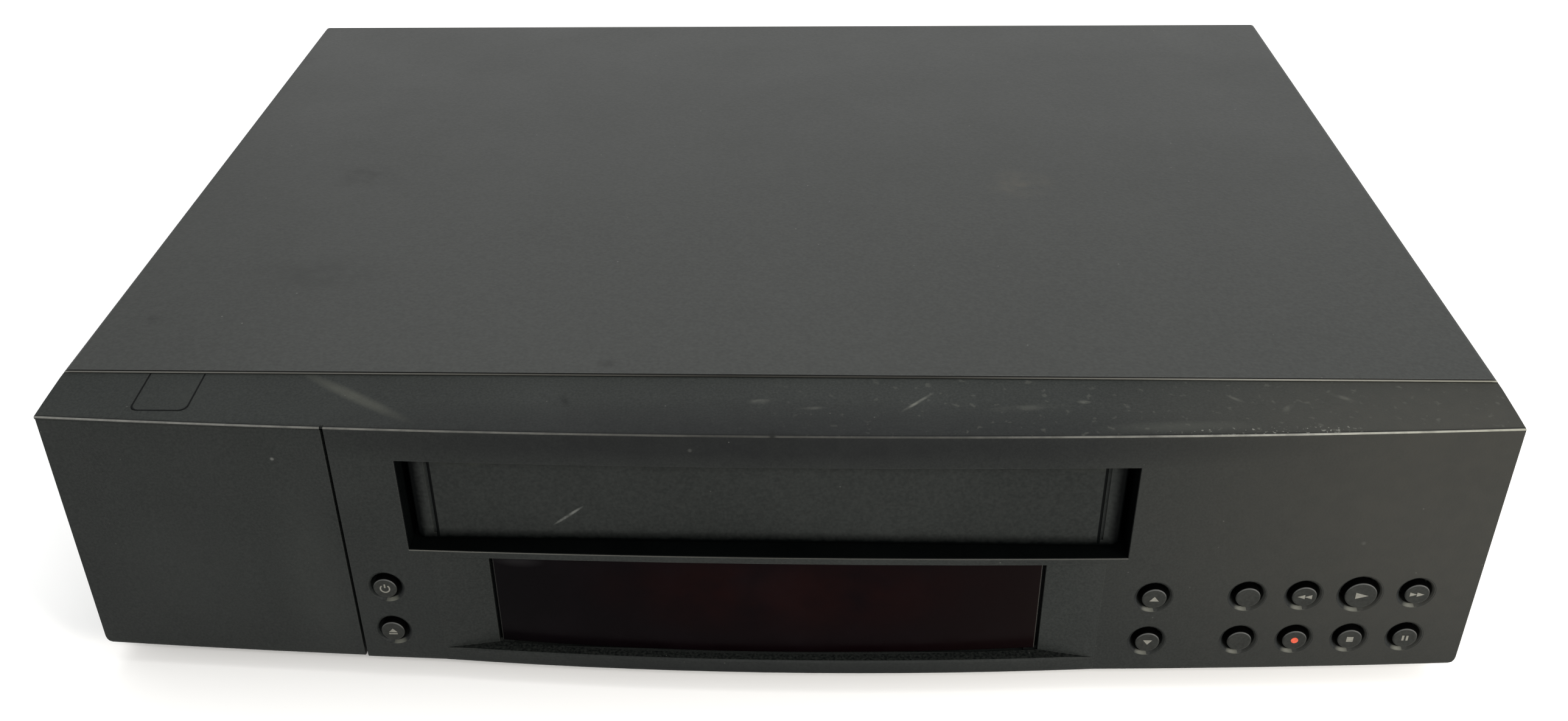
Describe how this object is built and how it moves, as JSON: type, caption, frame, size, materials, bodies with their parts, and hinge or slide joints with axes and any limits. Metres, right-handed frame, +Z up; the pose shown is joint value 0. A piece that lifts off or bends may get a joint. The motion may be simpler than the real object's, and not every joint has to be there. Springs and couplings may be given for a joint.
{
  "type": "video cassette recorder",
  "caption": "Front-loading video cassette recorder: steel cover, bowed grey front panel with flap, display window, round push buttons and socket door, and a working tape deck inside",
  "frame": {"origin": "middle of the outline's footprint, at the surface that the feet stand on", "axes": "+Z up, front panel towards -Y, +X to the right when seen from the front"},
  "size_m": [0.4338, 0.3298, 0.1007],
  "materials": {
    "cover_paint": "satin",
    "front_plastic": "satin",
    "flap_plastic": "satin",
    "button_plastic": "satin",
    "black_plastic": "satin",
    "smoked_lens": "gloss",
    "zinc_sheet": "satin",
    "bright_steel": "satin",
    "cast_aluminium": "satin",
    "circuit_board": "satin",
    "white_nylon": "satin",
    "rubber_black": "satin",
    "brass": "satin",
    "tube_glass": "gloss",
    "copper_winding": "satin"
  },
  "bodies": {
    "chassis": {"top_cover": "cover_paint", "cover_screw_left": "bright_steel", "cover_screw_right": "bright_steel", "cover_screw_rear_left": "bright_steel", "cover_screw_rear_right": "bright_steel", "front_bezel": "front_plastic", "display_window": "smoked_lens", "front_jacks": "black_plastic", "front_board": "circuit_board", "display_tube": "tube_glass", "bottom_plate": "zinc_sheet", "foot_front_left": "rubber_black", "foot_front_right": "rubber_black", "foot_rear_left": "rubber_black", "foot_rear_right": "rubber_black", "rear_panel": "zinc_sheet", "rear_jacks": "black_plastic", "tuner_can": "zinc_sheet", "mains_inlet": "black_plastic", "main_board": "circuit_board", "power_board": "circuit_board", "transformer": "copper_winding", "deck_plate": "zinc_sheet", "basket_bracket_left": "zinc_sheet", "basket_bracket_right": "zinc_sheet", "lower_drum": "cast_aluminium", "drive_belt": "rubber_black", "loading_motor": "bright_steel", "erase_head": "cast_aluminium", "audio_control_head": "cast_aluminium"},
    "input_door": {"input_door": "front_plastic"},
    "cassette_flap": {"cassette_flap": "flap_plastic"},
    "basket_slider": {"basket_slider": "bright_steel"},
    "cassette_basket": {"cassette_basket": "zinc_sheet"},
    "upper_drum": {"upper_drum": "cast_aluminium"},
    "capstan_flywheel": {"capstan_flywheel": "bright_steel"},
    "supply_reel_table": {"supply_reel_table": "white_nylon"},
    "take_up_reel_table": {"take_up_reel_table": "white_nylon"},
    "centre_pulley": {"centre_pulley": "white_nylon"},
    "idler_arm": {"idler_arm": "bright_steel"},
    "idler_gear": {"idler_gear": "white_nylon"},
    "left_guide_carriage": {"left_guide_carriage": "brass"},
    "right_guide_carriage": {"right_guide_carriage": "brass"},
    "cam_gear": {"cam_gear": "white_nylon"},
    "motor_worm": {"motor_worm": "white_nylon"},
    "pinch_arm": {"pinch_arm": "bright_steel"},
    "pinch_roller": {"pinch_roller": "rubber_black"},
    "tension_arm": {"tension_arm": "bright_steel"},
    "power_button": {"power_button": "button_plastic"},
    "eject_button": {"eject_button": "button_plastic"},
    "channel_up_button": {"channel_up_button": "button_plastic"},
    "channel_down_button": {"channel_down_button": "button_plastic"},
    "source_button": {"source_button": "button_plastic"},
    "rewind_button": {"rewind_button": "button_plastic"},
    "play_button": {"play_button": "button_plastic"},
    "forward_button": {"forward_button": "button_plastic"},
    "input_button": {"input_button": "button_plastic"},
    "record_button": {"record_button": "button_plastic"},
    "stop_button": {"stop_button": "button_plastic"},
    "pause_button": {"pause_button": "button_plastic"}
  },
  "joints": [
    {"name": "door_turn", "type": "hinge", "parent": "chassis", "child": "input_door", "pos_m": [-0.17, -0.14985, 0.0135], "axis": [1, 0, 0], "range_deg": [0, 85]},
    {"name": "flap_turn", "type": "hinge", "parent": "chassis", "child": "cassette_flap", "pos_m": [0, -0.1549, 0.0885], "axis": [1, 0, 0], "range_deg": [0, 80], "stiffness_Nm_per_rad": 0.02},
    {"name": "power_press", "type": "slide", "parent": "chassis", "child": "power_button", "axis": [0, 1, 0], "range_m": [0, 0.001], "stiffness_N_per_m": 400},
    {"name": "eject_press", "type": "slide", "parent": "chassis", "child": "eject_button", "axis": [0, 1, 0], "range_m": [0, 0.001], "stiffness_N_per_m": 400},
    {"name": "channel_up_press", "type": "slide", "parent": "chassis", "child": "channel_up_button", "axis": [0, 1, 0], "range_m": [0, 0.001], "stiffness_N_per_m": 400},
    {"name": "channel_down_press", "type": "slide", "parent": "chassis", "child": "channel_down_button", "axis": [0, 1, 0], "range_m": [0, 0.001], "stiffness_N_per_m": 400},
    {"name": "source_press", "type": "slide", "parent": "chassis", "child": "source_button", "axis": [0, 1, 0], "range_m": [0, 0.001], "stiffness_N_per_m": 400},
    {"name": "rewind_press", "type": "slide", "parent": "chassis", "child": "rewind_button", "axis": [0, 1, 0], "range_m": [0, 0.001], "stiffness_N_per_m": 400},
    {"name": "play_press", "type": "slide", "parent": "chassis", "child": "play_button", "axis": [0, 1, 0], "range_m": [0, 0.001], "stiffness_N_per_m": 400},
    {"name": "forward_press", "type": "slide", "parent": "chassis", "child": "forward_button", "axis": [0, 1, 0], "range_m": [0, 0.001], "stiffness_N_per_m": 400},
    {"name": "input_press", "type": "slide", "parent": "chassis", "child": "input_button", "axis": [0, 1, 0], "range_m": [0, 0.001], "stiffness_N_per_m": 400},
    {"name": "record_press", "type": "slide", "parent": "chassis", "child": "record_button", "axis": [0, 1, 0], "range_m": [0, 0.001], "stiffness_N_per_m": 400},
    {"name": "stop_press", "type": "slide", "parent": "chassis", "child": "stop_button", "axis": [0, 1, 0], "range_m": [0, 0.001], "stiffness_N_per_m": 400},
    {"name": "pause_press", "type": "slide", "parent": "chassis", "child": "pause_button", "axis": [0, 1, 0], "range_m": [0, 0.001], "stiffness_N_per_m": 400},
    {"name": "basket_in", "type": "slide", "parent": "chassis", "child": "basket_slider", "axis": [0, 1, 0], "range_m": [0, 0.045]},
    {"name": "basket_down", "type": "slide", "parent": "basket_slider", "child": "cassette_basket", "axis": [0, 0, -1], "range_m": [0, 0.02]},
    {"name": "drum_spin", "type": "hinge", "parent": "chassis", "child": "upper_drum", "pos_m": [0, 0.07065, 0.0288], "axis": [0.0872, 0, 0.9962], "continuous": true},
    {"name": "capstan_spin", "type": "hinge", "parent": "chassis", "child": "capstan_flywheel", "pos_m": [0.064, 0.03565, 0.04], "axis": [0, 0, 1], "continuous": true},
    {"name": "supply_spin", "type": "hinge", "parent": "chassis", "child": "supply_reel_table", "pos_m": [-0.046, -0.04635, 0.035], "axis": [0, 0, 1], "continuous": true},
    {"name": "take_up_spin", "type": "hinge", "parent": "chassis", "child": "take_up_reel_table", "pos_m": [0.046, -0.04635, 0.035], "axis": [0, 0, 1], "continuous": true},
    {"name": "centre_spin", "type": "hinge", "parent": "chassis", "child": "centre_pulley", "pos_m": [0, -0.07235, 0.025], "axis": [0, 0, 1], "continuous": true},
    {"name": "idler_swing", "type": "hinge", "parent": "chassis", "child": "idler_arm", "pos_m": [0, -0.07235, 0.0294], "axis": [0, 0, 1], "range_deg": [-30, 30]},
    {"name": "idler_spin", "type": "hinge", "parent": "idler_arm", "child": "idler_gear", "pos_m": [0, -0.04635, 0.031], "axis": [0, 0, 1], "continuous": true},
    {"name": "cam_turn", "type": "hinge", "parent": "chassis", "child": "cam_gear", "pos_m": [-0.078, 0.07065, 0.04], "axis": [0, 0, 1], "range_deg": [0, 150]},
    {"name": "worm_turn", "type": "hinge", "parent": "chassis", "child": "motor_worm", "pos_m": [-0.07, 0.09395, 0.04], "axis": [1, 0, 0], "range_deg": [0, 4200]},
    {"name": "left_guide_slide", "type": "slide", "parent": "chassis", "child": "left_guide_carriage", "axis": [-0.1266, 0.9919, 0], "range_m": [0, 0.0472]},
    {"name": "right_guide_slide", "type": "slide", "parent": "chassis", "child": "right_guide_carriage", "axis": [0.1266, 0.9919, 0], "range_m": [0, 0.0472]},
    {"name": "pinch_swing", "type": "hinge", "parent": "chassis", "child": "pinch_arm", "pos_m": [0.09, 0.03165, 0.037], "axis": [0, 0, -1], "range_deg": [0, 25]},
    {"name": "roller_spin", "type": "hinge", "parent": "pinch_arm", "child": "pinch_roller", "pos_m": [0.07154, 0.01953, 0.047], "axis": [0, 0, 1], "continuous": true},
    {"name": "tension_swing", "type": "hinge", "parent": "chassis", "child": "tension_arm", "pos_m": [-0.09, 0.03365, 0.032], "axis": [0, 0, 1], "range_deg": [-8, 8], "stiffness_Nm_per_rad": 0.01}
  ],
  "couplings": [
    {"joint": "centre_spin", "follows": "capstan_spin", "ratio": 0.61538},
    {"joint": "idler_spin", "follows": "capstan_spin", "ratio": -0.66667},
    {"joint": "take_up_spin", "follows": "capstan_spin", "ratio": 0.4},
    {"joint": "worm_turn", "follows": "cam_turn", "ratio": 28},
    {"joint": "left_guide_slide", "follows": "cam_turn", "m_per_rad": 0.018029},
    {"joint": "right_guide_slide", "follows": "cam_turn", "m_per_rad": 0.018029},
    {"joint": "pinch_swing", "follows": "cam_turn", "ratio": 0.16667}
  ]
}
